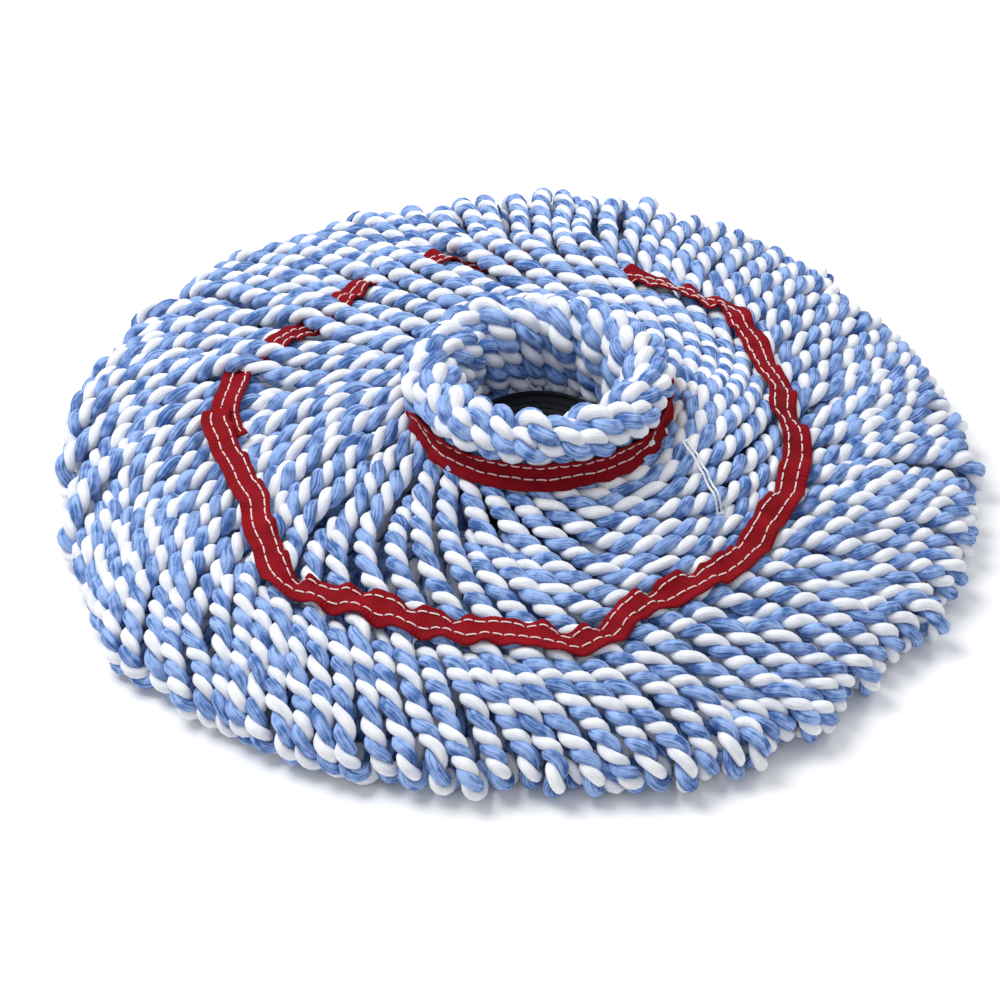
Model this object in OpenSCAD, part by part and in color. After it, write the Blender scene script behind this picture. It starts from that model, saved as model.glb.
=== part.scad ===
// Head of a self-wringing twist mop, spread flat on the floor.
// The strands start at the handle socket, run out along the floor, turn back over the rim of the
// pile, pass under the mid tape, climb to the neck and wrap over the neck hoop.
// +Z is the handle's axis, and the floor is at z = 0. Sizes are in millimetres.

/* [Strands] */
// Diameter of one two-ply strand
strand_d = 8; // [7:0.5:9]
// Sectors in the pile outside the mid tape
pile_sectors = 12; // [12]
// Sectors in the skirt between the mid tape and the neck
skirt_sectors = 8; // [8]
// Sectors in the rolled neck
neck_sectors = 8; // [8]
// Sectors in the gathered strand ends at the socket
end_sectors = 6; // [6]

/* [Pile] */
// Radius of the pile's rim
pile_r = 190; // [180:1:200]
// Height of the strands where the top slope meets the rim's curl
rim_h = 27; // [24:1:30]

/* [Tapes] */
// Width of the red tape
tape_w = 11.5; // [10:0.5:13]
// Thickness of the red tape
tape_t = 0.9; // [0.6:0.1:1.2]
// Radius of the mid tape's loop, at the middle of its width
mid_tape_r = 119; // [112:1:126]
// Height of the strands under the mid tape
mid_h = 37; // [35:1:40]
// Distance between a tape's two rows of stitching
stitch_gap = 6.4; // [5:0.2:7]
// Diameter of the sewing thread
thread_d = 0.8; // [0.6:0.1:1]

/* [Neck] */
// Outer radius of the rolled neck
neck_r = 51.5; // [50:0.5:53]
// Inner radius of the rolled neck
neck_bore_r = 32; // [31:0.5:33]
// Height of the neck's crest above the floor
neck_h = 83.75; // [82:0.25:86]
// Radius of the strands in the waist under the roll
waist_r = 48.7; // [48:0.1:49]
// Height at which the skirt meets the waist
waist_h = 56; // [55:1:57]
// Inner radius of the neck hoop
hoop_r = 40.5; // [40:0.1:41]
// Thickness of the neck hoop
hoop_t = 3; // [2.5:0.1:3]
// Height of the neck hoop
hoop_h = 7; // [5:0.5:8]

/* [Handle socket] */
// Radius of the bore for the handle's tip
bore_r = 11.2; // [10.5:0.1:12.5]
// Depth of that bore
bore_depth = 26; // [20:1:27]
// Radius of the socket's top flange
flange_r = 31; // [31:0.5:32]
// Height of the flange's rim above the floor
flange_h = 39; // [38:0.5:40]
// Radius of the hub below the flange
hub_r = 17; // [16:0.5:17]
// Radial thickness of the clamp ring
clamp_t = 3; // [2:0.5:4]
// Height of the clamp ring
clamp_h = 12; // [10:0.5:13]

/* [Tag pin] */
// Length of the clear tag pin
tag_l = 26; // [20:1:30]
// Diameter of the tag pin's filaments
tag_d = 1; // [0.8:0.1:1.2]

/* [Hidden] */
$fn = 96;
gap = 0.3;
sector_gap = 0.2;
// Flange, from its underside up
flange_t = 3;
flange_rim = 1;
flange_rim_w = 1.8;
flange_top = flange_h - flange_rim;
flange_under = flange_top - flange_t;
groove_radii = [17, 20.5, 24];
groove_w = 0.7;
groove_depth = 0.5;
hub_bottom = 9;
// Gathered ends, held between the hub and the clamp ring
ends_in_r = hub_r + gap;
ends_out_r = flange_r - 0.8;
clamp_in_r = ends_out_r + gap;
clamp_bottom = 14;
ends_flare_r = 60;
// Two layers of strands, nested
floor_layer_h = 1.675 * strand_d;
ends_lift = 1;
// Rim curl of the pile
curl_r = rim_h / 2;
curl_axis_r = pile_r - curl_r;
// Filling layer under the skirt and the top layer
fill_in_r = ends_flare_r + gap;
fill_in_h = 24;
skirt_out_r = mid_tape_r - 1.5;
top_in_r = skirt_out_r + gap;
fill_out_h = floor_layer_h;
fill_out_r = curl_axis_r - gap;
fill_slope = (fill_in_h - fill_out_h) / (fill_out_r - fill_in_r);
layer_gap = 0.5;
// Skirt, where it turns up into the neck
skirt_in_r = 45;
skirt_neck_low_h = 38;
skirt_neck_top = waist_h - gap;
skirt_shoulder_r = 56;
skirt_foot_r = 62;
// Roll of the neck
roll_r = (neck_r - neck_bore_r) / 2;
roll_axis_r = (neck_r + neck_bore_r) / 2;
roll_axis_h = neck_h - roll_r;
inner_wall_low_h = 46;
waist_top_h = 69.4;
hoop_top = roll_axis_h + gap;
neck_tape_low_h = 57.4;
// Slope of the tape over the strands, and its rise above them
tape_slope = 4;
tape_rise = 0.4;
// Tag pin: where its upper end lies, its pitch and heading, and the size of its end bars
tag_at = [60, -22, 55.5];
tag_pitch = 14;
tag_heading = -52;
tag_spread = 1.6;
tag_bar_l = 5;
tag_bar_d = 1.2 * tag_d;
NODES = concat(["handle_socket", "clamp_ring", "neck_hoop", "neck_tape", "neck_thread_upper",
    "neck_thread_lower", "mid_tape", "mid_thread_inner", "mid_thread_outer", "tag_pin"],
  [for (i = [1 : end_sectors]) named("strand_ends", i)],
  [for (i = [1 : pile_sectors]) named("under_strands", i)],
  [for (i = [1 : pile_sectors]) named("rim_strands", i)],
  [for (i = [1 : skirt_sectors]) named("skirt_strands", i)],
  [for (i = [1 : neck_sectors]) named("neck_strands", i)]);
node = "all";

// Height of the filling layer's top at radius r
function fill_top(r) = fill_in_h - fill_slope * (r - fill_in_r);
function named(prefix, i) = str(prefix, "_", i);
function shown(name) = node == "all" || node == name;

// One wedge of a ring, number i of count, with the given section as its children;
// number 1 is centred on +X
module sector(i, count) {
  rotate([0, 0, (i - 1.5) * 360 / count + sector_gap / 2])
    rotate_extrude(angle = 360 / count - sector_gap) children();
}

module ring_section(r_in, r_out, low, high) {
  translate([r_in, low]) square([r_out - r_in, high - low]);
}

// Black moulding that takes the handle's tip; its flange is seen down the neck
module handle_socket() {
  color("#141418") difference() {
    union() {
      translate([0, 0, hub_bottom]) cylinder(r = hub_r, h = flange_under - hub_bottom + 1);
      translate([0, 0, flange_under]) cylinder(r = flange_r, h = flange_t + flange_rim);
    }
    translate([0, 0, flange_top]) cylinder(r = flange_r - flange_rim_w, h = flange_rim + 1);
    translate([0, 0, flange_top - bore_depth]) cylinder(r = bore_r, h = bore_depth + 1);
    for (r = groove_radii)
      rotate_extrude() ring_section(r, r + groove_w, flange_top - groove_depth, flange_top + 1);
  }
}

// Ring that squeezes the gathered strand ends onto the hub
module clamp_ring() {
  color("#2a2a2e") rotate_extrude()
    ring_section(clamp_in_r, clamp_in_r + clamp_t, clamp_bottom, clamp_bottom + clamp_h);
}

// Stiff hoop inside the rolled neck
module neck_hoop() {
  color("#1d1d20") rotate_extrude()
    ring_section(hoop_r, hoop_r + hoop_t, hoop_top - hoop_h, hoop_top);
}

// Tape round the waist of the neck
module neck_tape() {
  color("#b0121c") rotate_extrude()
    ring_section(waist_r + gap, waist_r + gap + tape_t, neck_tape_low_h, neck_tape_low_h + tape_w);
}

// Sewing thread of one row on the neck tape; side is +1 for the upper row, -1 for the lower
module neck_thread(side) {
  row_h = neck_tape_low_h + tape_w / 2 + side * stitch_gap / 2;
  color("#f3d8da") rotate_extrude()
    translate([waist_r + gap + tape_t + thread_d / 2, row_h]) circle(d = thread_d, $fn = 16);
}

// Tape sewn across the strands half way out, lying on their slope
module mid_tape() {
  color("#b0121c") rotate_extrude()
    translate([mid_tape_r, mid_h + gap]) rotate(-tape_slope)
      translate([-tape_w / 2, tape_rise]) square([tape_w, tape_t]);
}

// Sewing thread of one row on the mid tape; side is -1 for the inner row, +1 for the outer
module mid_thread(side) {
  color("#f3d8da") rotate_extrude()
    translate([mid_tape_r, mid_h + gap]) rotate(-tape_slope)
      translate([side * stitch_gap / 2, tape_rise + tape_t + thread_d / 2])
        circle(d = thread_d, $fn = 16);
}

// Gathered strand ends: up beside the hub, and a short way out along the floor
module strand_ends(i) {
  color("#8fb0e6") sector(i, end_sectors) {
    ring_section(ends_in_r, ends_out_r, ends_lift, flange_under - gap);
    ring_section(ends_in_r, ends_flare_r, ends_lift, floor_layer_h);
  }
}

// Hidden strands under the skirt and under the top layer, lying on the floor
module under_strands(i) {
  color("#7f9fda") sector(i, pile_sectors)
    polygon([[fill_in_r, 0], [fill_out_r, 0], [fill_out_r, fill_top(fill_out_r)],
      [fill_in_r, fill_in_h]]);
}

// Top layer outside the mid tape, and the rim where the strands turn under
module rim_strands(i) {
  color(i % 2 == 0 ? "#6f97e0" : "#dfe7f7") sector(i, pile_sectors) {
    polygon([[top_in_r, fill_top(top_in_r) + layer_gap],
      [curl_axis_r, fill_top(curl_axis_r) + layer_gap], [curl_axis_r, rim_h],
      [top_in_r, mid_h]]);
    intersection() {
      translate([curl_axis_r, curl_r]) circle(r = curl_r);
      ring_section(curl_axis_r, pile_r, 0, rim_h);
    }
  }
}

// Strands from the mid tape in to the foot of the neck
module skirt_strands(i) {
  color(i % 2 == 0 ? "#dfe7f7" : "#6f97e0") sector(i, skirt_sectors)
    polygon([[skirt_out_r, fill_top(skirt_out_r) + layer_gap],
      [skirt_foot_r, fill_top(skirt_foot_r) + layer_gap], [skirt_in_r, skirt_neck_low_h],
      [skirt_in_r, skirt_neck_top], [skirt_shoulder_r, skirt_neck_top],
      [skirt_out_r, mid_h]]);
}

// Strands up the neck's outer wall, over the hoop and down the inner wall
module neck_strands(i) {
  color(i % 2 == 0 ? "#6f97e0" : "#dfe7f7") sector(i, neck_sectors) difference() {
    union() {
      translate([roll_axis_r, roll_axis_h]) circle(r = roll_r);
      ring_section(neck_bore_r, roll_axis_r, inner_wall_low_h, roll_axis_h);
      ring_section(roll_axis_r, waist_r, waist_h, roll_axis_h);
    }
    ring_section(hoop_r - gap, hoop_r + hoop_t + gap, 0, hoop_top + gap);
    ring_section(hoop_r, pile_r, 0, waist_h);
    ring_section(waist_r, pile_r, 0, waist_top_h);
  }
}

// Clear pin that once held a tag: a loop of two filaments with a bar at each end
module tag_pin() {
  color("#e8f1f5") translate(tag_at) rotate([0, tag_pitch, tag_heading]) {
    for (side = [-1, 1]) translate([0, side * tag_spread / 2, 0]) rotate([0, 90, 0])
      cylinder(d = tag_d, h = tag_l, $fn = 16);
    for (x = [0, tag_l]) translate([x, 0, 0]) rotate([90, 0, 0])
      cylinder(d = tag_bar_d, h = tag_bar_l, center = true, $fn = 16);
  }
}

if (shown("handle_socket")) handle_socket();
if (shown("clamp_ring")) clamp_ring();
if (shown("neck_hoop")) neck_hoop();
if (shown("neck_tape")) neck_tape();
if (shown("neck_thread_upper")) neck_thread(1);
if (shown("neck_thread_lower")) neck_thread(-1);
if (shown("mid_tape")) mid_tape();
if (shown("mid_thread_inner")) mid_thread(-1);
if (shown("mid_thread_outer")) mid_thread(1);
if (shown("tag_pin")) tag_pin();
for (i = [1 : end_sectors]) if (shown(named("strand_ends", i))) strand_ends(i);
for (i = [1 : pile_sectors]) if (shown(named("under_strands", i))) under_strands(i);
for (i = [1 : pile_sectors]) if (shown(named("rim_strands", i))) rim_strands(i);
for (i = [1 : skirt_sectors]) if (shown(named("skirt_strands", i))) skirt_strands(i);
for (i = [1 : neck_sectors]) if (shown(named("neck_strands", i))) neck_strands(i);
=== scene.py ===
import bpy
import bmesh
import math
import numpy as np
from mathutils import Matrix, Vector, kdtree


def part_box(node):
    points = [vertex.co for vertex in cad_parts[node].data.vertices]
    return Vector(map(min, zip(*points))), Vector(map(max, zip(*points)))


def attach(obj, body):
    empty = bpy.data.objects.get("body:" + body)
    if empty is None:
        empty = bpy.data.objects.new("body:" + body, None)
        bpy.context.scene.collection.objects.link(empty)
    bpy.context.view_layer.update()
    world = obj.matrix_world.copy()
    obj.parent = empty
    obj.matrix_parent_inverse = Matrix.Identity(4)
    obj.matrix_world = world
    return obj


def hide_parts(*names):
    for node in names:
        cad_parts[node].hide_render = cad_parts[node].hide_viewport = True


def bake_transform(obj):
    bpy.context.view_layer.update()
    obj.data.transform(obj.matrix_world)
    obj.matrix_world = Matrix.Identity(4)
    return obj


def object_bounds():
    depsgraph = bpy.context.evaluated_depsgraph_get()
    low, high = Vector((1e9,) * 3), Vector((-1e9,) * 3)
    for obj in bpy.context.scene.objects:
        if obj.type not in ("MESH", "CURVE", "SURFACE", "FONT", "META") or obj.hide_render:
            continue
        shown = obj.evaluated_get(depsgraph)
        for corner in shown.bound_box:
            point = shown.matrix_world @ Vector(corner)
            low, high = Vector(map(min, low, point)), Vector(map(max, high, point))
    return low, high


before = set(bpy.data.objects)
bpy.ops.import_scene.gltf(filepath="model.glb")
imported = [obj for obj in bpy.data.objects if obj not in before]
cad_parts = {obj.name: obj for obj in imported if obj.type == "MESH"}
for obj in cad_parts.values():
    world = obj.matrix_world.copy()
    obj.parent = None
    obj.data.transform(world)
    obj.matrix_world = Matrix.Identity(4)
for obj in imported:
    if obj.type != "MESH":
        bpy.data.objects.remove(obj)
cadLow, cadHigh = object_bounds()
mm = 0.001
rimRadius = cadHigh.x
print("frame loaded,", len(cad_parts), "CAD nodes")

# camera
cameraSet = {"elevation": 39.1, "distance": 1.4, "lens": 124, "target": (-15.5 * mm, 1 * mm, 6 * mm)}


def makeCamera():
    data = bpy.data.cameras.new("camera")
    data.lens = cameraSet["lens"]
    data.clip_end = 20
    camera = bpy.data.objects.new("camera", data)
    bpy.context.scene.collection.objects.link(camera)
    tilt = math.radians(cameraSet["elevation"])
    back = Vector((0, -math.cos(tilt), math.sin(tilt)))
    camera.location = Vector(cameraSet["target"]) + back * cameraSet["distance"]
    camera.rotation_euler = (-back).to_track_quat("-Z", "Y").to_euler()
    bpy.context.scene.camera = camera


makeCamera()

# strands: where they run
strand = {
    "diameter": 8 * mm,
    "pitch": 14.6 * mm,  # length of one full turn of the two plies, laid left-handed
    "pitchSpread": 0.12,
    "plyOffset": 1.86 * mm,
    "plyRadius": 2.5 * mm,
    "ringsPerTurn": 11,
    "sides": 10,
    "onFloor": 4.6 * mm,
    "step": 4 * mm,  # spacing of the points that the relaxing moves
}
layout = {
    "room": 7.4 * mm,  # width that a strand takes beside its neighbours
    "comesUp": 15 * mm,  # length over which one comes up between two others
    "opensAt": 0.5,  # spare room between two, as a share of a strand's own, at which another comes up
    "crowdedAt": -0.36,  # the same, at which one sinks
    "evening": 0.16,  # share of an uneven gap that one pass takes away
    "straightBunch": {"middle": 236, "width": 9, "turn": 24},
    "shift": (-9.5 * mm, 12 * mm),  # the rim's centre from the handle's axis
    "rim": 187.5 * mm,
    "seed": 11,
}
# the mid tape's distance from the handle's axis, by direction in degrees
tapeDirections = [-137, -109, -84, -47, -21, 0, 45, 90, 118, 145, 160, 175, 189]
tapeDistances = [133, 120, 125, 109, 103, 104, 120, 127, 132, 123, 131, 128, 123]
# directions where slack skirt strands lie over the mid tape
coveredTape = [(61, 65), (76, 84), (87, 93), (96, 108), (114, 124), (134, 141), (151, 160)]
rand = np.random.default_rng(layout["seed"])
half = strand["diameter"] / 2
neckLean = 2.6 * mm  # the neck's front stands this much above its middle, the back this much below
fullTurn = 2 * math.pi


def smoothstep(t):
    t = np.clip(t, 0, 1)
    return t * t * (3 - 2 * t)


def bumpAt(theta, middle, width):
    # 1 in the middle direction, falling off over the width, both in degrees
    off = (theta - math.radians(middle) + math.pi) % fullTurn - math.pi
    return np.exp(-((off / math.radians(width)) ** 2))


def cutCorners(points, rounds):
    pts = np.array(points, float)
    for _ in range(rounds):
        near = pts[:-1] * 0.75 + pts[1:] * 0.25
        far = pts[:-1] * 0.25 + pts[1:] * 0.75
        inner = np.stack([near, far], 1).reshape(-1, pts.shape[1])
        pts = np.concatenate([pts[:1], inner, pts[-1:]])
    return pts


def runLengths(pts):
    return np.concatenate([[0], np.cumsum(np.linalg.norm(np.diff(pts, axis=0), axis=1))])


def resample(pts, step):
    run = runLengths(pts)
    at = np.linspace(0, run[-1], max(3, int(round(run[-1] / step)) + 1))
    return np.stack([np.interp(at, run, pts[:, k]) for k in range(pts.shape[1])], axis=1)


def routeStations():
    # distance from the axis and height of a strand's middle, from the neck's inside to the socket
    neckLow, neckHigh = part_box("neck_strands_1")
    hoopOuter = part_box("neck_hoop")[1][0]
    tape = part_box("neck_tape")
    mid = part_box("mid_tape")
    midR = mid[1][0] - 5.8 * mm
    midZ = mid[0][2] - half
    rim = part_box("rim_strands_1")[1]
    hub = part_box("handle_socket")[1]
    inner = hoopOuter - 4 * mm - half
    outer = neckHigh[0] - half + 1.5 * mm
    crest = neckHigh[2] - half - 3 * mm
    waist = tape[1][0] - 6.4 * mm
    curl = rimRadius - 13.5 * mm
    return [
        (inner, neckLow[2] - 8 * mm), (inner - 1.5 * mm, crest - 14 * mm), (inner, crest - 4 * mm),
        ((inner + outer) / 2, crest + 2 * mm), (outer, crest - 1 * mm), (outer + 2 * mm, crest - 6 * mm),
        (outer + 1 * mm, tape[1][2] - 1.5 * mm), (waist, tape[1][2] - 4 * mm), (waist, tape[0][2] - 2 * mm),
        (outer - 1 * mm, tape[0][2] - 6 * mm), (outer + 12 * mm, tape[0][2] - 9 * mm),
        (midR * 0.75, midZ + 9 * mm), (midR - 8 * mm, midZ + 2.5 * mm), (midR, midZ),
        (midR + 8 * mm, midZ + 1 * mm), (midR + 30 * mm, midZ - 2.5 * mm),
        (curl - 6 * mm, rim[2] - 13.5 * mm), (curl + 5 * mm, 21 * mm),
        (rimRadius - half + 2 * mm, 14 * mm), (curl + 8 * mm, half + 1 * mm), (curl - 4 * mm, half),
        (hub[0] * 2, half), (hub[0] * 1.1, half + 2 * mm), (hub[0] * 0.78, 18 * mm), (hub[0] * 0.75, 30 * mm),
    ]


route = resample(cutCorners(routeStations(), 4), strand["step"])
places = np.arange(len(route))
routeR, routeZ = route[:, 0], route[:, 1]
routeL = runLengths(route)
along = np.gradient(route, axis=0)
along /= np.linalg.norm(along, axis=1)[:, None]
outward = np.stack([-along[:, 1], along[:, 0]], axis=1)  # away from the layers below, in the r-z plane
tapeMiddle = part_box("mid_tape")[1][0] - 5.8 * mm
rimIndex = int(np.argmax(routeR))
crestIndex = int(np.argmax(routeZ))
waistIndex = int(np.argmax((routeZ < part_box("neck_tape")[0][2] - 3 * mm) & (places > crestIndex)))
midIndex = int(np.argmax(routeR > tapeMiddle))
floorIndex = rimIndex + int(np.argmax(routeR[rimIndex:] < rimRadius - 13 * mm))
endsIndex = rimIndex + int(np.argmax(routeR[rimIndex:] < 60 * mm))
fatness = np.interp(places, [0, crestIndex + 1, waistIndex - 4, waistIndex, waistIndex + 5],
                    [1.1, 1.2, 0.94, 0.94, 1])


def tapeAt(theta):
    return np.interp(np.degrees(theta), tapeDirections, tapeDistances, period=360) * mm


def rimAt(theta):
    across = layout["shift"][0] * np.cos(theta) + layout["shift"][1] * np.sin(theta)
    beside = layout["shift"][0] * np.sin(theta) - layout["shift"][1] * np.cos(theta)
    return across + np.sqrt(layout["rim"] ** 2 - beside**2)


def pileScale(r, theta):
    # the pile isn't round: how much farther out than the plain route a point lies
    atTape = tapeAt(theta) / tapeMiddle
    atRim = rimAt(theta) / rimRadius
    near = smoothstep((r - 55 * mm) / (tapeMiddle - 55 * mm))
    far = np.clip((r - tapeMiddle) / (rimRadius - 12 * mm - tapeMiddle), 0, 1)
    return 1 + (atTape - 1) * near + (atRim - atTape) * far


def leanField():
    # degrees between the strands and straight outward, every 45 degrees round from the right
    rows = [
        (0, [15, 15, 15, 15, 15, 15, 15, 15]),
        (crestIndex, [34, 20, 10, 25, 34, 34, 34, 34]),
        (waistIndex, [40, 34, 25, 20, 30, 36, 36, 40]),
        ((waistIndex * 2 + midIndex) / 3, [58, 46, 34, 14, 16, 36, 44, 56]),
        (midIndex - 2, [66, 56, 40, 8, 22, 58, 44, 52]),
        (midIndex + 3, [20, 12, 14, 8, 16, 42, 28, 24]),
        ((midIndex + rimIndex) / 2, [10, 4, 2, 6, 20, 40, 22, 18]),
        (rimIndex - 3, [6, 0, 0, 24, 58, 48, 18, 14]),
        (floorIndex, [4, 4, 4, 4, 10, 10, 10, 4]),
        (endsIndex, [0, 0, 0, 0, 0, 0, 0, 0]),
    ]
    at = [row[0] for row in rows]
    return np.stack([np.interp(places, at, [row[1][k] for row in rows]) for k in range(8)], axis=1)


lean = leanField()


def leanAt(place, theta):
    turn = (theta / (math.pi / 4)) % 8
    low = np.floor(turn).astype(int) % 8
    t = smoothstep(turn - np.floor(turn))
    # at the lower left one bunch runs nearly straight out, against its neighbours
    facts = layout["straightBunch"]
    bunch = bumpAt(theta, facts["middle"], facts["width"]) * (midIndex < place < rimIndex) * facts["turn"]
    return np.radians(lean[place, low] * (1 - t) + lean[place, (low + 1) % 8] * t - bunch)


def traceStrands():
    # strands run side by side; one comes up where they spread and one sinks where they crowd
    made = []

    def march(stops, theta, ids, weight, wish):
        for before, place in zip(stops[:-1], stops[1:]):
            r = routeR[place] * pileScale(routeR[place], theta)
            step = abs(routeL[place] - routeL[before])
            way = 1 if place > before else -1
            theta = theta + way * np.tan(leanAt(place, theta)) * step / r
            weight = np.clip(weight + (wish - 0.5) * 2 * step / layout["comesUp"], 0, 1)
            room = layout["room"] * fatness[place]
            for _ in range(5):
                r = routeR[place] * pileScale(routeR[place], theta)
                gap = (np.roll(theta, -1) - theta) % fullTurn * r * np.cos(leanAt(place, theta))
                spare = gap - (weight + np.roll(weight, -1)) / 2 * room
                theta = theta + layout["evening"] * (spare - np.roll(spare, 1)) / r
            want = (wish + np.roll(wish, -1)) / 2 * room
            spare = gap - want
            both = (spare + np.roll(spare, 1)) / 2
            tightest = (both <= np.roll(both, 1)) & (both <= np.roll(both, -1))
            crowded = (both < layout["crowdedAt"] * room) & tightest
            wish = np.where((wish == 1) & (weight > 0.7) & crowded, 0, wish)
            keep = (weight > 0) | (wish == 1)
            opens = (spare > layout["opensAt"] * room) & (wish == 1) & (np.roll(wish, -1) == 1)
            newTheta, newIds, newWeight, newWish = [], [], [], []
            for i in range(len(theta)):
                if keep[i]:
                    newTheta.append(theta[i])
                    newIds.append(ids[i])
                    newWeight.append(weight[i])
                    newWish.append(wish[i])
                if opens[i]:
                    newTheta.append(theta[i] + gap[i] / 2 / r[i] / math.cos(leanAt(place, theta[i:i + 1])[0]))
                    newIds.append(len(made))
                    newWeight.append(0.0)
                    newWish.append(1)
                    made.append({})
            theta, ids = np.array(newTheta), newIds
            weight, wish = np.array(newWeight), np.array(newWish)
            for k, turn, shown in zip(ids, theta, weight):
                made[k][place] = (turn, shown)
        return theta

    waistLength = fullTurn * routeR[waistIndex]
    count = int(waistLength * math.cos(math.radians(34)) / layout["room"] / fatness[waistIndex])
    start = np.arange(count) / count * fullTurn
    start += rand.uniform(-0.15, 0.15, count) / count * fullTurn
    made.extend({waistIndex: (turn, 1.0)} for turn in start)
    ones = np.ones(count)
    march(list(range(waistIndex, len(route))), start, list(range(count)), ones, ones)
    march(list(range(waistIndex, -1, -1)), start, list(range(count)), ones, ones)
    return made


made = traceStrands()
strandCount = len(made)
shown = np.zeros((strandCount, len(route)))
angle = np.zeros((strandCount, len(route)))


def fillTables():
    for k, stops in enumerate(made):
        seen = sorted(stops)
        angle[k] = np.interp(places, seen, [stops[p][0] for p in seen])
        for p in seen:
            shown[k, p] = smoothstep(stops[p][1])


fillTables()
print("strands traced:", strandCount, "shown at the tape:", int(shown[:, midIndex].sum()),
      "at the rim:", int(shown[:, rimIndex].sum()))


def wander(size, waves):
    # smooth noise along each strand, one row a strand
    out = np.zeros((strandCount, len(route)))
    for wave in waves:
        tilt = rand.uniform(0, fullTurn, (strandCount, 1))
        length = wave * rand.uniform(0.8, 1.25, (strandCount, 1))
        out += np.sin(routeL[None, :] / length * fullTurn + tilt)
    return out * size / len(waves)


def swell(points, waves):
    # slow bumps over the pile, from a few crossing waves on the plan
    out = np.zeros(len(points))
    for wave in waves:
        turn = rand.uniform(0, fullTurn)
        push = rand.uniform(0, fullTurn)
        across = points[:, 0] * math.cos(turn) + points[:, 1] * math.sin(turn)
        out += np.sin(across / wave * fullTurn + push)
    return out / len(waves)


def overTape():
    at = np.degrees(angle[:, midIndex]) % 360
    covered = np.zeros(strandCount, bool)
    for low, high in coveredTape:
        covered |= (at > low) & (at < high)
    return covered & (shown[:, midIndex] > 0.5)


pile = {
    "partings": 13,
    "partingWidth": 3.4 * mm,
    "backOfRim": 5 * mm,
    "bunch": {"middle": 100, "width": 42, "rise": 6.5 * mm},
    "fold": {"middle": 2, "width": 30, "rise": 12 * mm},
    "overTape": 10 * mm,
    "bumps": 2.4 * mm,
}


def placeStrands():
    depth = (1 - shown) * 0.86 * strand["diameter"]
    lift = wander(1.2 * mm, [38 * mm, 21 * mm])
    sway = wander(1.4 * mm, [60 * mm, 33 * mm])
    stops = [0, waistIndex - 3, waistIndex + 4, midIndex - 2, midIndex, midIndex + 4, rimIndex, floorIndex,
             len(route)]
    loose = np.interp(places, stops, [1, 0.3, 1, 1, 0.2, 1, 1.2, 0.2, 0.1])
    theta = angle + sway * loose / routeR
    for middle in rand.uniform(0, fullTurn, pile["partings"]):
        off = (theta - middle + math.pi) % fullTurn - math.pi
        where = np.interp(places, [midIndex, midIndex + 8, rimIndex - 3, rimIndex + 2], [0.1, 1, 1, 0.3],
                          left=0, right=0)
        theta += np.tanh(off / 0.03) * np.exp(-np.abs(off) / 0.11) * where * pile["partingWidth"] / routeR
    scale = pileScale(routeR[None, :], theta)
    radius = routeR * scale + outward[:, 0] * (lift * loose - depth)
    height = routeZ + outward[:, 1] * (lift * loose - depth)
    reach = rand.normal(0, 2.6 * mm, (strandCount, 1)) + 2 * mm * np.sin(theta * 5 + 1)
    reach = reach + 1.2 * mm * np.sin(theta * 9)
    radius = radius + reach * smoothstep((routeR - 125 * mm) / (50 * mm))
    # the back of the rim is thicker, the skirt bunches up behind the neck, and the neck leans back
    thicker = smoothstep((routeR - 120 * mm) / (40 * mm)) * (places < floorIndex - 3)
    height = height + pile["backOfRim"] * np.maximum(0, np.sin(theta)) * thicker
    behind = bumpAt(theta, pile["bunch"]["middle"], pile["bunch"]["width"])
    bunched = np.interp(places, [waistIndex, waistIndex + 5, midIndex - 4, midIndex + 2], [0, 1, 0.8, 0],
                        left=0, right=0)
    height = height + pile["bunch"]["rise"] * behind * bunched
    # at the right a fold of the skirt hides the neck tape
    beside = bumpAt(theta, pile["fold"]["middle"], pile["fold"]["width"])
    folded = np.interp(places, [waistIndex + 3, waistIndex + 5, waistIndex + 9, midIndex - 4], [0, 1, 0.6, 0],
                       left=0, right=0)
    height = height + pile["fold"]["rise"] * beside * folded
    leaning = np.interp(places, [0, crestIndex - 4, crestIndex + 3, waistIndex - 2], [0, 1, 1, 0],
                        left=0, right=0)
    height = height - neckLean * (1 + np.sin(theta)) * leaning
    passing = overTape()
    hump = np.exp(-((routeL - routeL[midIndex]) / (15 * mm)) ** 2) * (places < rimIndex)
    height = height + passing[:, None] * hump[None, :] * pile["overTape"]
    x = radius * np.cos(theta)
    y = radius * np.sin(theta)
    lists, owners, order, spots = [], [], [], []
    for k in range(strandCount):
        seen = np.nonzero(shown[k] > 0.03)[0]
        if len(seen) < 4:
            continue
        pick = np.arange(max(0, seen[0] - 3), min(len(route) - 1, seen[-1] + 3) + 1)
        lists.append(np.stack([x[k, pick], y[k, pick], height[k, pick]], axis=1))
        owners.append(np.full(len(pick), k))
        order.append(np.arange(len(pick)))
        spots.append(pick)
    points = np.concatenate(lists)
    spots = np.concatenate(spots)
    bumpy = np.interp(spots, [waistIndex, waistIndex + 6, midIndex - 3, midIndex, midIndex + 4, rimIndex],
                      [0, 1, 1, 0.3, 1, 0.2], left=0, right=0)
    points[:, 2] += swell(points, [70 * mm, 52 * mm, 39 * mm]) * pile["bumps"] * bumpy
    return points, np.concatenate(owners), np.concatenate(order), spots, passing


def nearPairs(points, owner, order, reach):
    tree = kdtree.KDTree(len(points))
    for i, p in enumerate(points):
        tree.insert(p, i)
    tree.balance()
    first, second = [], []
    for i, p in enumerate(points):
        for _, j, _ in tree.find_range(p, reach):
            if j > i and (owner[j] != owner[i] or order[j] - order[i] > 4):
                first.append(i)
                second.append(j)
    return np.array(first), np.array(second)


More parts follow.
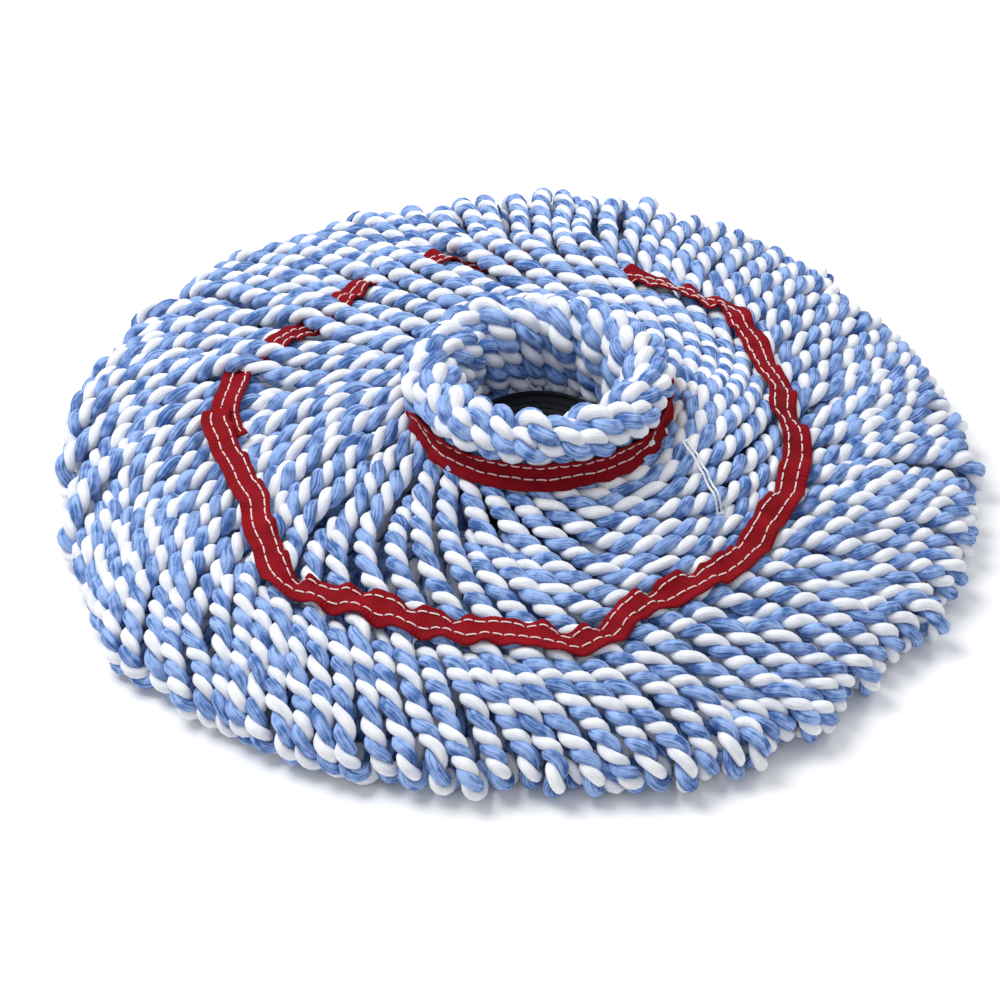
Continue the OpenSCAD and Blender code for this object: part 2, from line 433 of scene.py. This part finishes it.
relaxing = {
    "rounds": 36,
    "apart": 7.5 * mm,  # closest that two strands' middles come
    "weight": 0.06 * mm,
    "memory": 0.02,
    "push": 0.32,
    "pull": 0.4,
    "stiffness": 0.12,
}


def relax(points, owner, order, spots, passing):
    # each strand keeps its length, pushes its neighbours away and lies on what is below
    plan = points.copy()
    atWaist = (spots > waistIndex - 5) & (spots <= waistIndex)
    atTape = (np.abs(spots - midIndex) <= 1) & ~passing[owner]
    pressed = (np.abs(spots - midIndex) <= 4) & ~passing[owner]
    held = atWaist | atTape | (spots >= endsIndex + 4)
    free = np.where(held, 0.0, 1.0)[:, None]
    link = np.nonzero(owner[1:] == owner[:-1])[0]
    middle = link[:-1][link[1:] == link[:-1] + 1] + 1
    rest = np.linalg.norm(points[link + 1] - points[link], axis=1)
    wide = relaxing["apart"] * fatness[spots]
    boreInside = routeR[:crestIndex].min() - 1 * mm
    for turn in range(relaxing["rounds"]):
        points += (plan - points) * relaxing["memory"] * free
        points[:, 2] -= relaxing["weight"] * free[:, 0] * (spots > waistIndex)
        if turn % 3 == 0:
            first, second = nearPairs(points, owner, order, strand["diameter"] * 1.35)
        away = points[second] - points[first]
        size = np.maximum(np.linalg.norm(away, axis=1), 0.1 * mm)
        want = (wide[first] + wide[second]) / 2
        push = away * (np.maximum(0, want - size) / size * relaxing["push"])[:, None]
        move = np.zeros_like(points)
        np.add.at(move, first, -push)
        np.add.at(move, second, push)
        points += move * free
        for _ in range(2):
            span = points[link + 1] - points[link]
            size = np.linalg.norm(span, axis=1)
            pull = span * ((size - rest) / size * relaxing["pull"])[:, None]
            move = np.zeros_like(points)
            np.add.at(move, link, pull)
            np.add.at(move, link + 1, -pull)
            points += move * free
        bend = (points[middle - 1] + points[middle + 1]) / 2 - points[middle]
        points[middle] += bend * relaxing["stiffness"] * free[middle]
        points[pressed, 2] = np.minimum(points[pressed, 2], plan[pressed, 2] + 0.5 * mm)
        points[:, 2] = np.maximum(points[:, 2], strand["onFloor"])
        radius = np.hypot(points[:, 0], points[:, 1])
        inside = (spots < crestIndex) & (radius < boreInside)
        points[inside, :2] *= (boreInside / radius[inside])[:, None]
    return points


points, owner, order, spots, passing = placeStrands()
points = relax(points, owner, order, spots, passing)
print("strands relaxed:", len(points), "points")


# strands: their two plies
def fineLine(points, step):
    # smooth curve through the points; further columns ride along
    run = runLengths(points[:, :3])
    at = np.linspace(0, run[-1], max(4, int(run[-1] / step)))
    slope = np.gradient(points, run, axis=0)
    i = np.clip(np.searchsorted(run, at, "right") - 1, 0, len(run) - 2)
    h = (run[i + 1] - run[i])[:, None]
    t = (at - run[i])[:, None] / h
    start = (2 * t**3 - 3 * t**2 + 1) * points[i] + (t**3 - 2 * t**2 + t) * h * slope[i]
    return start + (3 * t**2 - 2 * t**3) * points[i + 1] + (t**3 - t**2) * h * slope[i + 1]


def twist(line, pitch, phase):
    # the two plies' middles, wound left-handed round the line
    count = np.arange(len(line)) / 3
    ahead = np.gradient(line[:, :3], axis=0)
    ahead /= np.linalg.norm(ahead, axis=1)[:, None]
    side = np.empty_like(ahead)
    carried = np.cross(ahead[0], (0.3, 0.2, 1.0))
    for i, t in enumerate(ahead):
        carried = carried - t * carried.dot(t)
        carried /= math.sqrt(carried.dot(carried))
        side[i] = carried
    other = np.cross(ahead, side)
    fat = np.interp(line[:, 3], places, fatness)
    size = fat * np.minimum(1, np.minimum(count + 0.05, count[::-1] + 0.05) ** 0.5)
    run = runLengths(line[:, :3])
    uneven = np.sin(run / rand.uniform(24 * mm, 46 * mm) * fullTurn + rand.uniform(0, fullTurn)) * 0.5
    wound = phase - run / pitch * fullTurn + uneven
    wiggle = [1 + 0.07 * np.sin(run / (rand.uniform(9, 17) * mm) * fullTurn + rand.uniform(0, fullTurn))
              for _ in range(2)]
    away = side * np.cos(wound)[:, None] + other * np.sin(wound)[:, None]
    arm = away * fat[:, None] * strand["plyOffset"]
    first = np.column_stack([line[:, :3] + arm, size * wiggle[0] * 0.97, away])
    return first, np.column_stack([line[:, :3] - arm, size * wiggle[1] * 1.04, -away])


zones = {
    "neck": {"node": "neck_strands", "sectors": 8, "perNode": 1, "body": "neck"},
    "skirt": {"node": "skirt_strands", "sectors": 16, "perNode": 2, "ends": ("root", "neck"),
              "from": 114 * mm, "to": 56 * mm},
    "rim": {"node": "rim_strands", "sectors": 12, "perNode": 1, "body": "root"},
    "under": {"node": "under_strands", "sectors": 12, "perNode": 1, "ends": ("root", "socket"),
              "from": 130 * mm, "to": 61 * mm},
    "ends": {"node": "strand_ends", "sectors": 6, "perNode": 1, "body": "socket"},
}


def zoneOf(spot):
    limits = (("neck", waistIndex + 1), ("skirt", midIndex), ("rim", floorIndex), ("under", endsIndex))
    for name, last in limits:
        if spot <= last:
            return name
    return "ends"


def sectorOf(x, y, zone):
    facts = zones[zone]
    span = fullTurn / facts["sectors"]
    return int((math.atan2(y, x) + span * facts["perNode"] / 2) % fullTurn / span) % facts["sectors"]


def cutRuns(line):
    # stretches of one line that lie in one zone and sector; neighbours share a point
    keys = []
    for x, y, _, spot in line:
        zone = zoneOf(spot)
        keys.append((zone, sectorOf(x, y, zone)))
    cuts = [0]
    for i in range(1, len(keys)):
        if keys[i] != keys[i - 1] and i - cuts[-1] >= 3 and len(keys) - i >= 3:
            cuts.append(i)
    cuts.append(len(keys) - 1)
    return [(keys[(a + b) // 2], a, b) for a, b in zip(cuts[:-1], cuts[1:])]


def gatherRuns():
    found = {}
    lines = []
    for k in range(strandCount):
        mine = owner == k
        if not mine.any():
            continue
        path = np.column_stack([points[mine], spots[mine]])
        path[1:-1, :3] = path[1:-1, :3] * 0.6 + (path[:-2, :3] + path[2:, :3]) * 0.2
        pitch = strand["pitch"] * (1 + strand["pitchSpread"] * rand.uniform(-1, 1))
        line = fineLine(path, pitch / strand["ringsPerTurn"])
        lines.append(np.column_stack([line, np.full(len(line), k)]))
        plies = twist(line, pitch, rand.uniform(0, fullTurn))
        for key, a, b in cutRuns(line):
            first, last = max(0, a - 1), min(len(line) - 1, b + 1)
            pair = [ply[first:last + 1].copy() for ply in plies]
            for ply in pair:
                if first < a:
                    ply[0, 3] *= 0.9
                if last > b:
                    ply[-1, 3] *= 0.9
            found.setdefault(key, []).append(pair)
    return found, np.concatenate(lines)


# materials
def newMaterial(name, base, roughness):
    made = bpy.data.materials.new(name)
    made.use_nodes = True
    shader = made.node_tree.nodes["Principled BSDF"]
    shader.inputs["Base Color"].default_value = (*base, 1)
    shader.inputs["Roughness"].default_value = roughness
    return made, made.node_tree.nodes, made.node_tree.links, shader


def plyMaterial(name, light, dark, paintedCreaseShade, sheen):
    # fibres run along each ply; shade is painted into the crease against the other ply, where the colour
    # turns darker
    made, nodes, links, shader = newMaterial(name, light, 0.9)
    shader.inputs["Sheen Weight"].default_value = sheen
    shader.inputs["Sheen Roughness"].default_value = 0.5
    shader.inputs["Specular IOR Level"].default_value = 0.2
    place = nodes.new("ShaderNodeTexCoord")
    stretch = nodes.new("ShaderNodeMapping")
    stretch.inputs["Scale"].default_value = (5, 22, 1)
    own = nodes.new("ShaderNodeVectorMath")
    own.operation = "MULTIPLY_ADD"
    own.inputs[1].default_value = (70, 70, 70)
    fibres = nodes.new("ShaderNodeTexNoise")
    fibres.inputs["Scale"].default_value = 1
    fibres.inputs["Detail"].default_value = 4
    mottle = nodes.new("ShaderNodeTexNoise")
    mottle.inputs["Scale"].default_value = 160
    mottle.inputs["Detail"].default_value = 3
    tint = nodes.new("ShaderNodeMix")
    tint.data_type = "RGBA"
    tint.inputs["A"].default_value = (*dark, 1)
    tint.inputs["B"].default_value = (*light, 1)
    blend = nodes.new("ShaderNodeMath")
    blend.operation = "ADD"
    spread = nodes.new("ShaderNodeMapRange")
    spread.inputs["From Min"].default_value = 0.82
    spread.inputs["From Max"].default_value = 1.13
    # painted crease shade: where the surface faces the other ply, the colour is mixed towards the painted
    # shade colour
    facing = nodes.new("ShaderNodeAttribute")
    facing.attribute_name = "facing"
    inner = nodes.new("ShaderNodeMapRange")
    inner.interpolation_type = "SMOOTHSTEP"
    inner.inputs["From Min"].default_value = 0.1
    inner.inputs["From Max"].default_value = -0.74
    shade = nodes.new("ShaderNodeMix")
    shade.data_type = "RGBA"
    shade.inputs["B"].default_value = (*paintedCreaseShade, 1)
    bump = nodes.new("ShaderNodeBump")
    bump.inputs["Strength"].default_value = 0.6
    bump.inputs["Distance"].default_value = 0.4 * mm
    links.new(place.outputs["UV"], stretch.inputs["Vector"])
    links.new(place.outputs["Object"], own.inputs[0])
    links.new(stretch.outputs["Vector"], own.inputs[2])
    links.new(own.outputs["Vector"], fibres.inputs["Vector"])
    links.new(place.outputs["Object"], mottle.inputs["Vector"])
    links.new(fibres.outputs["Fac"], blend.inputs[0])
    links.new(mottle.outputs["Fac"], blend.inputs[1])
    links.new(blend.outputs[0], spread.inputs["Value"])
    links.new(spread.outputs["Result"], tint.inputs["Factor"])
    links.new(facing.outputs["Fac"], inner.inputs["Value"])
    links.new(inner.outputs["Result"], shade.inputs["Factor"])
    links.new(tint.outputs["Result"], shade.inputs["A"])
    links.new(shade.outputs["Result"], shader.inputs["Base Color"])
    links.new(fibres.outputs["Fac"], bump.inputs["Height"])
    links.new(bump.outputs["Normal"], shader.inputs["Normal"])
    return made


# the third colour of each is painted shade for the crease between the plies
whitePly = plyMaterial("white microfibre", (0.94, 0.945, 0.955), (0.76, 0.785, 0.86), (0.4, 0.46, 0.64), 0.1)
bluePly = plyMaterial("blue microfibre", (0.34, 0.5, 0.86), (0.05, 0.13, 0.37), (0.02, 0.055, 0.2), 0.1)


def curveMesh(name, splines, radius, sides, materials):
    # round threads along the given lines, as one mesh; a spline is its points with radius factors,
    # and the number of its material
    data = bpy.data.curves.new(name, "CURVE")
    data.dimensions = "3D"
    data.bevel_depth = radius
    data.bevel_resolution = sides // 2 - 2
    for material in materials:
        data.materials.append(material)
    for points, number in splines:
        spline = data.splines.new("POLY")
        spline.points.add(len(points) - 1)
        flat = np.ones((len(points), 4))
        flat[:, :3] = points[:, :3]
        spline.points.foreach_set("co", flat.ravel())
        spline.points.foreach_set("radius", points[:, 3])
        spline.material_index = number
    draft = bpy.data.objects.new(name + ".draft", data)
    bpy.context.scene.collection.objects.link(draft)
    depsgraph = bpy.context.evaluated_depsgraph_get()
    mesh = bpy.data.meshes.new_from_object(draft.evaluated_get(depsgraph), depsgraph=depsgraph)
    mesh.name = name
    bpy.data.objects.remove(draft)
    bpy.data.curves.remove(data)
    mesh.polygons.foreach_set("use_smooth", [True] * len(mesh.polygons))
    around = np.empty(len(mesh.vertices) * 3)
    mesh.vertices.foreach_get("co", around)
    around = around.reshape(-1, sides, 3)
    around -= around.mean(axis=1, keepdims=True)
    around /= np.linalg.norm(around, axis=2)[:, :, None] + 1e-9
    mesh.normals_split_custom_set_from_vertices(around.reshape(-1, 3))
    # how much each point faces the other ply; the ply materials paint crease shade from it
    if splines[0][0].shape[1] > 4:
        away = np.concatenate([points[:, 4:7] for points, _ in splines])
        facing = (around * away[:, None, :]).sum(axis=2)
        mesh.attributes.new("facing", "FLOAT", "POINT").data.foreach_set("value", facing.ravel())
    piece = bpy.data.objects.new(name, mesh)
    bpy.context.scene.collection.objects.link(piece)
    return piece


def makeStrands(found):
    faces = 0
    for (zone, sector), runs in sorted(found.items()):
        facts = zones[zone]
        number = sector // facts["perNode"] + 1
        letter = "ab"[sector % 2] if facts["perNode"] == 2 else ""
        splines = [(plies[ply], ply) for plies in runs for ply in (0, 1)]
        piece = curveMesh(f"{zone}_yarn_{number}{letter}", splines, strand["plyRadius"], strand["sides"],
                          [whitePly, bluePly])
        faces += len(piece.data.polygons)
        if "body" in facts:
            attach(piece, facts["body"])
        else:
            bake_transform(piece)
        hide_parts(f"{facts['node']}_{number}")
    return faces


looseEnds = {
    "stubDirection": 187,
    "tails": ((-27 * mm, 6 * mm, -3 * mm), (-15 * mm, 7 * mm, -1.5 * mm)),  # place along x, height and lean
    "tailSize": 0.36,
}


def addLooseEnds():
    # a cut cord inside the neck, and two plies that stand up at the back of the rim
    turn = math.radians(looseEnds["stubDirection"])
    way = np.array([math.cos(turn), math.sin(turn)])
    t = np.linspace(0, 1, 12)
    radius = (38 - 8.5 * t**1.5) * mm
    stub = np.column_stack([way[0] * radius, way[1] * radius, (57 + 12.5 * t) * mm, np.full(12, 2)])
    pair = list(twist(stub, strand["pitch"], 1.0))
    found[("neck", sectorOf(*stub[0, :2], "neck"))].append(pair)
    back = lines[(np.abs(lines[:, 3] - rimIndex + 3) < 1) & (lines[:, 1] > 0)]
    for x, tall, leans in looseEnds["tails"]:
        start = back[np.argmin(np.abs(back[:, 0] - x)), :3]
        t = np.linspace(0, 1, 9)
        rise = np.column_stack([start[0] + leans * t**2, start[1] + 1 * mm * t, start[2] + (half + tall) * t])
        size = looseEnds["tailSize"] * np.sqrt(np.minimum(1, (1 - t) * 3 + 0.05))
        ply = np.column_stack([rise, size, np.tile([0, -1.0, 0], (9, 1))])
        found[("rim", sectorOf(*start[:2], "rim"))].append([ply - [0.7 * mm, 0, 2 * mm, 0, 0, 0, 0], ply])


found, lines = gatherRuns()
addLooseEnds()
print("strand pieces:", len(found), "faces:", makeStrands(found))

# tapes and their stitches
tape = {
    "width": 11.5 * mm,
    "thickness": 0.9 * mm,
    "step": 0.9 * mm,
    "across": 9,
    "stitch": 4.5 * mm,
    "stitchGap": 0.4 * mm,
    "thread": 0.62 * mm,
    "ribs": 500,
    "lap": 28 * mm,
    "lapRise": 1.8 * mm,
}


def supportHeights(base, normal, cloud, radii, reach):
    # how far along the normal each base point has to move to lie on the strands
    tree = kdtree.KDTree(len(cloud))
    for i, p in enumerate(cloud):
        tree.insert(p, i)
    tree.balance()
    out = np.full(len(base), np.nan)
    for k, (p, n) in enumerate(zip(base, normal)):
        near = [i for _, i, _ in tree.find_range(p, reach)]
        if not near:
            continue
        offset = cloud[near] - p
        high = offset @ n
        aside = np.linalg.norm(offset - high[:, None] * n, axis=1)
        size = radii[near]
        touch = aside < size
        if touch.any():
            out[k] = (high[touch] + np.sqrt(size[touch] ** 2 - aside[touch] ** 2)).max()
    return out


def blurRows(values, times, closed):
    for _ in range(times):
        if closed:
            values = (np.roll(values, 1, 0) + values * 2 + np.roll(values, -1, 0)) / 4
        else:
            inner = (values[:-2] + values[1:-1] * 2 + values[2:]) / 4
            values = np.concatenate([values[:1], inner, values[-1:]])
    return values


def drape(base, normal, cloud, radii, reach, taut, stiff):
    rows, cols = base.shape[:2]
    high = supportHeights(base.reshape(-1, 3), normal.reshape(-1, 3), cloud, radii, reach).reshape(rows, cols)
    for j in range(cols):
        good = ~np.isnan(high[:, j])
        high[:, j] = np.interp(np.arange(rows), np.nonzero(good)[0], high[good, j])
    # woven cloth stays nearly straight across its width
    share = np.linspace(-1, 1, cols)
    slope = (high * share).sum(axis=1) / (share**2).sum()
    flat = high.mean(axis=1)[:, None] + slope[:, None] * share
    flat += (high - flat).max(axis=1)[:, None] * 0.8
    lying = np.maximum(high, high + (flat - high) * stiff)
    for _ in range(3):
        lying = np.maximum(blurRows(lying, taut, False), high)
    lying = blurRows(lying, 4, False)
    return np.maximum(lying, high - 0.15 * mm)


def ribbon(name, grid, thickness, material):
    # a band of cloth through a grid of points, rows along it
    rows, cols = grid.shape[:2]
    shape = bmesh.new()
    shape.loops.layers.uv.new("UVMap")
    bmesh.ops.create_grid(shape, x_segments=rows - 1, y_segments=cols - 1, size=1, calc_uvs=True)
    for v in shape.verts:
        i = round((v.co.x + 1) / 2 * (rows - 1))
        j = round((v.co.y + 1) / 2 * (cols - 1))
        v.co = grid[i, j]
    mesh = bpy.data.meshes.new(name)
    shape.to_mesh(mesh)
    shape.free()
    mesh.polygons.foreach_set("use_smooth", [True] * len(mesh.polygons))
    mesh.materials.append(material)
    piece = bpy.data.objects.new(name, mesh)
    bpy.context.scene.collection.objects.link(piece)
    thick = piece.modifiers.new("thickness", "SOLIDIFY")
    thick.thickness = thickness
    thick.offset = -1
    return piece


def gridNormals(grid):
    lengthwise = np.gradient(grid, axis=0)
    across = np.gradient(grid, axis=1)
    normal = np.cross(lengthwise, across)
    return normal / np.linalg.norm(normal, axis=2)[:, :, None]


def stitchRow(grid, share):
    # separate stitches along a ribbon, at a share of its width; each dips at its needle holes
    cols = grid.shape[1]
    j = share * (cols - 1)
    low = int(j)
    normal = gridNormals(grid)
    line = grid[:, low] * (1 - j + low) + grid[:, low + 1] * (j - low)
    up = normal[:, low] * (1 if normal[0, low] @ faceOut(grid) > 0 else -1)
    run = runLengths(line)
    pitch = tape["stitch"] + tape["stitchGap"]
    out = []
    at = 2 * mm
    while at + tape["stitch"] < run[-1] - 1 * mm:
        length = tape["stitch"] * rand.uniform(0.92, 1.08)
        t = np.linspace(at, at + length, 6)
        rise = np.array([-0.45, 0.2, 0.35, 0.35, 0.2, -0.45]) * mm
        pts = [[np.interp(x, run, line[:, k]) + np.interp(x, run, up[:, k]) * h for k in range(3)]
               for x, h in zip(t, rise)]
        out.append((np.column_stack([pts, [0.8, 1, 1, 1, 1, 0.8]]), 0))
        at += pitch
    return out


def faceOut(grid):
    # the side that faces away from the pile: up for a flat band, outward for a standing one
    middle = grid[0, grid.shape[1] // 2]
    standing = abs(grid[0, -1, 2] - grid[0, 0, 2]) > 0.6 * np.linalg.norm(grid[0, -1] - grid[0, 0])
    return np.array([middle[0], middle[1], 0]) if standing else np.array([0, 0, 1.0])


def midTapeGrid(cloud, radii):
    # laid on the pile; its two ends overlap at the left
    turns = np.radians([180, 174, 160, 145, 118, 90, 45, 0, -21, -47, -84, -109, -137, -171, -180, -187])
    reach = np.array([123, 126, 132, 122, 133, 127, 120, 104, 103, 109, 125, 120, 133, 122, 128, 132]) * mm
    corners = np.stack([reach * np.cos(turns), reach * np.sin(turns)], axis=1)
    path = resample(cutCorners(resample(corners, 14 * mm), 3), tape["step"])
    lengthwise = np.gradient(path, axis=0)
    lengthwise /= np.linalg.norm(lengthwise, axis=1)[:, None]
    outside = np.stack([-lengthwise[:, 1], lengthwise[:, 0]], axis=1)
    wobble = blurRows(rand.normal(0, 1, len(path)), 60, False)
    path = path + outside * (wobble / wobble.std() * 0.8 * mm)[:, None]
    share = np.linspace(-0.5, 0.5, tape["across"])
    grid = np.zeros((len(path), tape["across"], 3))
    grid[:, :, :2] = path[:, None, :] + outside[:, None, :] * share[None, :, None] * tape["width"]
    grid[:, :, 2] = 20 * mm
    up = np.zeros_like(grid)
    up[:, :, 2] = 1
    high = drape(grid, up, cloud, radii, 26 * mm, 5, 1)
    run = runLengths(path)
    # gathered by the stitching: small ripples, larger at the edges
    phase = np.cumsum(rand.uniform(0.7, 1.3, len(path))) * tape["step"] / (9.5 * mm) * fullTurn
    edge = 0.35 + 1.3 * np.abs(share - 0.1) ** 2 * 4
    ripple = np.sin(phase) * 0.36 + np.sin(phase * 0.43 + 1) * 0.34 + 0.55
    ripple = ripple[:, None] * edge[None, :] * mm
    grid[:, :, 2] += high + tape["thickness"] + ripple + 0.3 * mm
    lapping = smoothstep((run - run[-1] + tape["lap"]) / (10 * mm))
    grid[:, :, 2] += (lapping * tape["lapRise"])[:, None]
    return grid


def neckTapeGrid(cloud, radii):
    # stands round the neck below the rolled strands
    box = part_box("neck_tape")
    wrapped = fullTurn * 1.03
    turns = np.linspace(0, wrapped, int(wrapped * box[1][0] / tape["step"])) + math.radians(120)
    share = np.linspace(0, 1, tape["across"])
    low = box[0][2] - 3.5 * mm
    grid = np.zeros((len(turns), tape["across"], 3))
    out = np.zeros_like(grid)
    out[:, :, 0] = np.cos(turns)[:, None]
    out[:, :, 1] = np.sin(turns)[:, None]
    inner = box[1][0] - 14 * mm
    base = out * inner + np.array([0, 0, 1]) * (low + share[None, :, None] * tape["width"])
    lay = drape(base, out, cloud, radii, 26 * mm, 6, 0)
    lay = np.clip(lay, None, np.median(lay) + 2.8 * mm)
    grid = out * (inner + lay + tape["thickness"] + 0.2 * mm)[:, :, None]
    grid[:, :, 2] = low + share[None, :] * tape["width"] + (np.sin(turns * 3) * 0.7 * mm)[:, None]
    return grid


def tapeMaterial():
    # ribs run across the band
    made, nodes, links, shader = newMaterial("red tape", (0.36, 0.002, 0.008), 0.7)
    shader.inputs["Specular IOR Level"].default_value = 0.12
    place = nodes.new("ShaderNodeTexCoord")
    stretch = nodes.new("ShaderNodeMapping")
    ribs = nodes.new("ShaderNodeTexWave")
    ribs.inputs["Scale"].default_value = 1
    ribs.inputs["Distortion"].default_value = 0.6
    mottle = nodes.new("ShaderNodeTexNoise")
    mottle.inputs["Scale"].default_value = 110
    tint = nodes.new("ShaderNodeMix")
    tint.data_type = "RGBA"
    tint.inputs["A"].default_value = (0.13, 0.001, 0.004, 1)
    tint.inputs["B"].default_value = (0.33, 0.002, 0.009, 1)
    bump = nodes.new("ShaderNodeBump")
    bump.inputs["Strength"].default_value = 0.5
    bump.inputs["Distance"].default_value = 0.3 * mm
    stretch.inputs["Scale"].default_value = (tape["ribs"] / 20 * 2 * math.pi, 0.4, 1)
    links.new(place.outputs["UV"], stretch.inputs["Vector"])
    links.new(stretch.outputs["Vector"], ribs.inputs["Vector"])
    links.new(place.outputs["Object"], mottle.inputs["Vector"])
    links.new(mottle.outputs["Fac"], tint.inputs["Factor"])
    links.new(tint.outputs["Result"], shader.inputs["Base Color"])
    links.new(ribs.outputs["Fac"], bump.inputs["Height"])
    links.new(bump.outputs["Normal"], shader.inputs["Normal"])
    return made


redTape = tapeMaterial()
threadWhite = newMaterial("sewing thread", (0.85, 0.72, 0.72), 0.7)[0]


def makeTapes():
    spot = lines[:, 3]
    over = passing[lines[:, 4].astype(int)]
    radii = fatness[spot.round().astype(int)] * (strand["plyOffset"] + strand["plyRadius"]) * 0.97
    nearMid = (np.abs(spot - midIndex) < 14) & ~over
    grid = midTapeGrid(lines[nearMid, :3], radii[nearMid])
    piece = ribbon("mid_band", grid, tape["thickness"], redTape)
    sewn = curveMesh("mid_stitches", stitchRow(grid, 0.16) + stitchRow(grid, 0.64), tape["thread"] / 2, 6,
                     [threadWhite])
    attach(piece, "root")
    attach(sewn, "root")
    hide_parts("mid_tape")
    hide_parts("mid_thread_inner", "mid_thread_outer")
    nearNeck = (spot > crestIndex) & (spot < waistIndex + 2.5)
    grid = neckTapeGrid(lines[nearNeck, :3], radii[nearNeck])
    piece = ribbon("neck_band", grid, tape["thickness"], redTape)
    sewn = curveMesh("neck_stitches", stitchRow(grid, 0.24) + stitchRow(grid, 0.78), tape["thread"] / 2, 6,
                     [threadWhite])
    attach(piece, "neck")
    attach(sewn, "neck")
    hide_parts("neck_tape")
    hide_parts("neck_thread_upper", "neck_thread_lower")


makeTapes()


# hard parts and the tag pin
hoop = {
    "radius": 41 * mm,
    "thickness": 1.2 * mm,
    "height": 7 * mm,
    "top": routeZ.max() - strand["diameter"],
}


def finishHardParts():
    plastic = newMaterial("black plastic", (0.012, 0.012, 0.013), 0.38)[0]
    for name in ("handle_socket", "clamp_ring"):
        node = bpy.data.objects[name]
        node.data.materials.clear()
        node.data.materials.append(plastic)
    # the hoop stands between the two layers of neck strands and leans back with them
    shape = bmesh.new()
    bmesh.ops.create_cone(shape, cap_ends=False, segments=96, radius1=hoop["radius"], radius2=hoop["radius"],
                          depth=hoop["height"])
    for v in shape.verts:
        v.co.z += hoop["top"] - hoop["height"] / 2 - neckLean * (1 + v.co.y / hoop["radius"])
    mesh = bpy.data.meshes.new("hoop_band")
    shape.to_mesh(mesh)
    shape.free()
    mesh.materials.append(plastic)
    piece = bpy.data.objects.new("hoop_band", mesh)
    bpy.context.scene.collection.objects.link(piece)
    thick = piece.modifiers.new("thickness", "SOLIDIFY")
    thick.thickness = hoop["thickness"]
    thick.offset = -1
    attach(piece, "neck")
    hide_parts("neck_hoop")


clearNylon, *_, nylonShader = newMaterial("clear nylon", (0.92, 0.96, 1.0), 0.2)
nylonShader.inputs["Transmission Weight"].default_value = 0.2
finishHardParts()


tagPin = {"start": (57, -24), "end": (70, -49), "width": 1.8 * mm, "rail": 1 * mm, "rows": 40}


def makeTagPin():
    # a flat loop of clear nylon, lying on the skirt
    rows = tagPin["rows"]
    start = np.array(tagPin["start"]) * mm
    end = np.array(tagPin["end"]) * mm
    t = np.linspace(0, 1, rows)
    flat = start + (end - start) * t[:, None]
    base = np.column_stack([flat, np.full(rows, 20 * mm)])
    up = np.tile([0, 0, 1.0], (rows, 1))
    spot = lines[:, 3]
    near = (spot > waistIndex) & (spot < midIndex + 4)
    high = supportHeights(base, up, lines[near, :3], np.full(near.sum(), half + 0.5 * mm), 45 * mm)
    good = np.nonzero(~np.isnan(high))[0]
    high = np.interp(np.arange(rows), good, high[good])
    high = np.maximum(blurRows(high, 30, False), blurRows(high, 3, False))
    rise = 20 * mm + high + 0.6 * mm + np.sin(t * math.pi) * 1 * mm
    span = end - start
    beside = np.array([-span[1], span[0]]) / np.linalg.norm(span) * tagPin["width"] / 2
    splines = []
    for side in (1, -1):
        rail = np.column_stack([flat + beside * side, rise, np.ones(rows)])
        splines.append((rail, 0))
    for last in (0, -1):
        bar = [[*(flat[last] + beside * w), rise[last], 1.3] for w in (-1.8, -0.6, 0.6, 1.8)]
        splines.append((np.array(bar), 0))
    pin = curveMesh("tag_loop", splines, tagPin["rail"] / 2, 8, [clearNylon])
    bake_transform(pin)
    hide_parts("tag_pin")


makeTagPin()


# floor, light and finish
studio = {
    "world": 0.57,
    "key": {"size": 0.8, "power": 16, "place": (-0.68, 0.2, 1.35)},
    "fill": {"size": 1.0, "power": 4, "place": (0.8, 0.5, 1.3)},
}


def makeStage():
    mesh = bpy.data.meshes.new("floor")
    shape = bmesh.new()
    bmesh.ops.create_grid(shape, x_segments=1, y_segments=1, size=6)
    shape.to_mesh(mesh)
    shape.free()
    floor = bpy.data.objects.new("floor", mesh)
    bpy.context.scene.collection.objects.link(floor)
    mesh.materials.append(newMaterial("pale floor", (0.98, 0.98, 0.98), 0.9)[0])
    world = bpy.data.worlds.new("studio")
    world.use_nodes = True
    world.node_tree.nodes["Background"].inputs["Color"].default_value = (0.97, 0.98, 1, 1)
    world.node_tree.nodes["Background"].inputs["Strength"].default_value = studio["world"]
    bpy.context.scene.world = world


def makeLight(name):
    facts = studio[name]
    data = bpy.data.lights.new(name, "AREA")
    data.size = facts["size"]
    data.energy = facts["power"]
    light = bpy.data.objects.new(name, data)
    light.location = facts["place"]
    light.rotation_euler = (-Vector(facts["place"])).to_track_quat("-Z", "Y").to_euler()
    bpy.context.scene.collection.objects.link(light)


makeStage()
makeLight("key")
makeLight("fill")
bpy.context.scene.view_settings.view_transform = "Standard"
